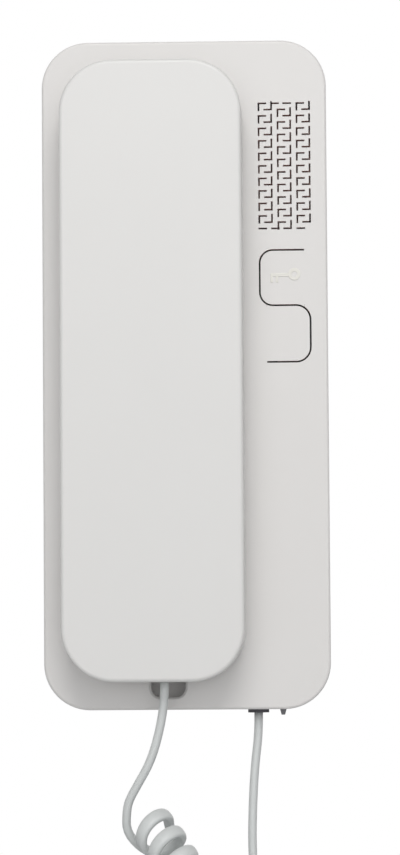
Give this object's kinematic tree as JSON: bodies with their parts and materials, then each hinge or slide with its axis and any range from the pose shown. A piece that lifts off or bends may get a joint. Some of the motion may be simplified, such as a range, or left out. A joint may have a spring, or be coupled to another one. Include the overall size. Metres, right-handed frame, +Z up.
{
  "type": "audio intercom handset",
  "caption": "Wall-mounted audio intercom station with a lift-off handset on its left, two flush sprung buttons, a slotted call speaker and a curly cord below.",
  "frame": {"origin": "midway between the two wall-screw holes, on the back face that lies against the wall", "axes": "+Z up, +X to the viewer's right, -Y out of the wall towards the user"},
  "size_m": [0.081, 0.0453, 0.2894],
  "materials": {
    "wall_unit_white": "fine satin moulded ABS, warm white",
    "handset_white": "smooth moulded ABS, warm white",
    "board_green": "solder-masked glass-fibre board",
    "screw_steel": "zinc-plated steel",
    "terminal_grey": "moulded polyamide",
    "switch_black": "moulded switch housing",
    "stem_grey": "moulded acetal",
    "speaker_black": "black lacquered sheet",
    "cone_paper": "pressed dark paper",
    "foam_black": "closed-cell foam",
    "bush_rubber": "dark moulded rubber",
    "relief_rubber": "pale moulded rubber",
    "slider_grey": "moulded acetal, mid grey",
    "capsule_metal": "drawn aluminium can",
    "cord_grey": "soft PVC sheath, cool pale grey"
  },
  "bodies": {
    "wall_unit": {"rear_housing": "wall_unit_white", "front_cover": "wall_unit_white", "circuit_board": "board_green", "board_screws": "screw_steel", "terminal_block": "terminal_grey", "terminal_screws": "screw_steel", "speaker_gasket": "foam_black", "speaker_frame": "speaker_black", "speaker_cone": "cone_paper", "speaker_magnet": "screw_steel", "door_switch": "switch_black", "aux_switch": "switch_black", "hook_pin": "screw_steel", "hook_spring": "screw_steel", "hook_switch": "switch_black", "volume_switch": "switch_black", "cord_grommet": "bush_rubber", "cord_coil": "cord_grey", "base_tail": "cord_grey"},
    "handset": {"handset_front_shell": "handset_white", "handset_rear_shell": "handset_white", "handset_screws": "screw_steel", "earpiece_gasket": "foam_black", "earpiece_capsule": "switch_black", "microphone_boot": "bush_rubber", "microphone_capsule": "capsule_metal", "handset_strain_relief": "relief_rubber", "handset_tail": "cord_grey"},
    "hook": {"hook_lever": "wall_unit_white"},
    "hook_stem": {"hook_switch_stem": "stem_grey"},
    "door_button": {"door_button": "wall_unit_white"},
    "door_stem": {"door_switch_stem": "stem_grey"},
    "aux_button": {"aux_button": "wall_unit_white"},
    "aux_stem": {"aux_switch_stem": "stem_grey"},
    "volume_slider": {"volume_slider": "slider_grey"}
  },
  "joints": [
    {"name": "handset_lift", "type": "slide", "parent": "wall_unit", "child": "handset", "axis": [0, -0.9659, 0.2588], "range_m": [0, 0.06]},
    {"name": "hook_swing", "type": "hinge", "parent": "wall_unit", "child": "hook", "pos_m": [0.007, -0.013, -0.012], "axis": [1, 0, 0], "range_deg": [0, 9.5], "stiffness_Nm_per_rad": 0.01, "springref_deg": 9.5},
    {"name": "hook_stem_slide", "type": "slide", "parent": "wall_unit", "child": "hook_stem", "axis": [0, -1, 0], "range_m": [0, 0.00091]},
    {"name": "door_button_press", "type": "hinge", "parent": "wall_unit", "child": "door_button", "pos_m": [0.03395, -0.0202, 0.027], "axis": [0, 0, -1], "range_deg": [0, 3.2], "stiffness_Nm_per_rad": 0.4},
    {"name": "door_stem_slide", "type": "slide", "parent": "wall_unit", "child": "door_stem", "axis": [0, 1, 0], "range_m": [0, 0.00036]},
    {"name": "aux_button_press", "type": "hinge", "parent": "wall_unit", "child": "aux_button", "pos_m": [0.0232, -0.0202, 0.011], "axis": [0, 0, 1], "range_deg": [0, 3.2], "stiffness_Nm_per_rad": 0.4},
    {"name": "aux_stem_slide", "type": "slide", "parent": "wall_unit", "child": "aux_stem", "axis": [0, 1, 0], "range_m": [0, 0.00036]},
    {"name": "volume_slide", "type": "slide", "parent": "wall_unit", "child": "volume_slider", "axis": [1, 0, 0], "range_m": [-0.002, 0.002]}
  ],
  "couplings": [
    {"joint": "hook_swing", "follows": "handset_lift", "rad_per_m": 2.76},
    {"joint": "hook_stem_slide", "follows": "handset_lift", "ratio": 0.015},
    {"joint": "door_stem_slide", "follows": "door_button_press", "m_per_rad": 0.00627},
    {"joint": "aux_stem_slide", "follows": "aux_button_press", "m_per_rad": 0.00627}
  ]
}
